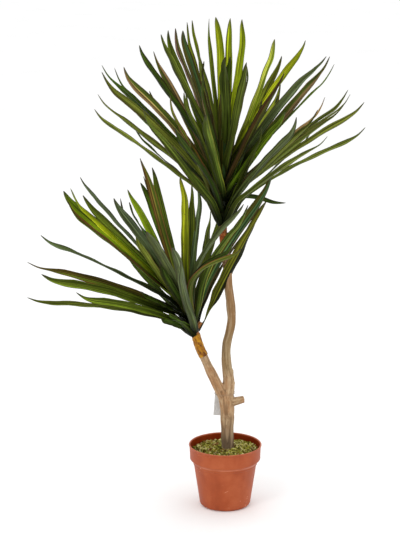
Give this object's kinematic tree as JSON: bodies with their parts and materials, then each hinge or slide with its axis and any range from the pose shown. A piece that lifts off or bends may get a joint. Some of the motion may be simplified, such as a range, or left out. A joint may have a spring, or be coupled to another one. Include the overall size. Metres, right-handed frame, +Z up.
{
  "type": "potted yucca",
  "caption": "Artificial yucca with two spiky crowns of long narrow blades on a forked wooden trunk, set in a round plastic nursery pot with moss.",
  "frame": {"origin": "centre of the underside of the pot, on the surface it stands on", "axes": "+Z up along the trunk; +X to the right and -Y to the front, seen from the side where the lower crown leans left"},
  "size_m": [0.5838, 0.5176, 0.8713],
  "materials": {
    "terracotta_plastic": "moulded terracotta-coloured plastic, satin, with fine scuffs",
    "cement": "cast grey cement",
    "moss": "dry shredded moss, matt",
    "wood": "bare dry branch wood with lengthwise grain, matt",
    "crown_stem": "moulded brown plastic",
    "wrap": "wound amber tape, glossy",
    "leaf": "printed and coated polyester, satin, green with purple-brown edges",
    "card": "uncoated card, blank",
    "nylon": "clear nylon fastener"
  },
  "bodies": {
    "root": {"pot": "terracotta_plastic", "ballast": "cement", "moss": "moss", "trunk": "wood", "upper_crown_stem": "crown_stem", "lower_crown_stem": "crown_stem", "upper_wrap": "wrap", "lower_wrap": "wrap", "tag": "card", "tag_loop": "nylon", "leaf_upper_01": "leaf", "leaf_upper_02": "leaf", "leaf_upper_03": "leaf", "leaf_upper_04": "leaf", "leaf_upper_05": "leaf", "leaf_upper_06": "leaf", "leaf_upper_07": "leaf", "leaf_upper_08": "leaf", "leaf_upper_09": "leaf", "leaf_upper_10": "leaf", "leaf_upper_11": "leaf", "leaf_upper_12": "leaf", "leaf_upper_13": "leaf", "leaf_upper_14": "leaf", "leaf_upper_15": "leaf", "leaf_upper_16": "leaf", "leaf_upper_17": "leaf", "leaf_upper_18": "leaf", "leaf_upper_19": "leaf", "leaf_upper_20": "leaf", "leaf_upper_21": "leaf", "leaf_upper_22": "leaf", "leaf_upper_23": "leaf", "leaf_upper_24": "leaf", "leaf_upper_25": "leaf", "leaf_upper_26": "leaf", "leaf_upper_27": "leaf", "leaf_upper_28": "leaf", "leaf_upper_29": "leaf", "leaf_upper_30": "leaf", "leaf_lower_01": "leaf", "leaf_lower_02": "leaf", "leaf_lower_03": "leaf", "leaf_lower_04": "leaf", "leaf_lower_05": "leaf", "leaf_lower_06": "leaf", "leaf_lower_07": "leaf", "leaf_lower_08": "leaf", "leaf_lower_09": "leaf", "leaf_lower_10": "leaf", "leaf_lower_11": "leaf", "leaf_lower_12": "leaf", "leaf_lower_13": "leaf", "leaf_lower_14": "leaf", "leaf_lower_15": "leaf", "leaf_lower_16": "leaf", "leaf_lower_17": "leaf", "leaf_lower_18": "leaf", "leaf_lower_19": "leaf", "leaf_lower_20": "leaf"}
  },
  "joints": []
}
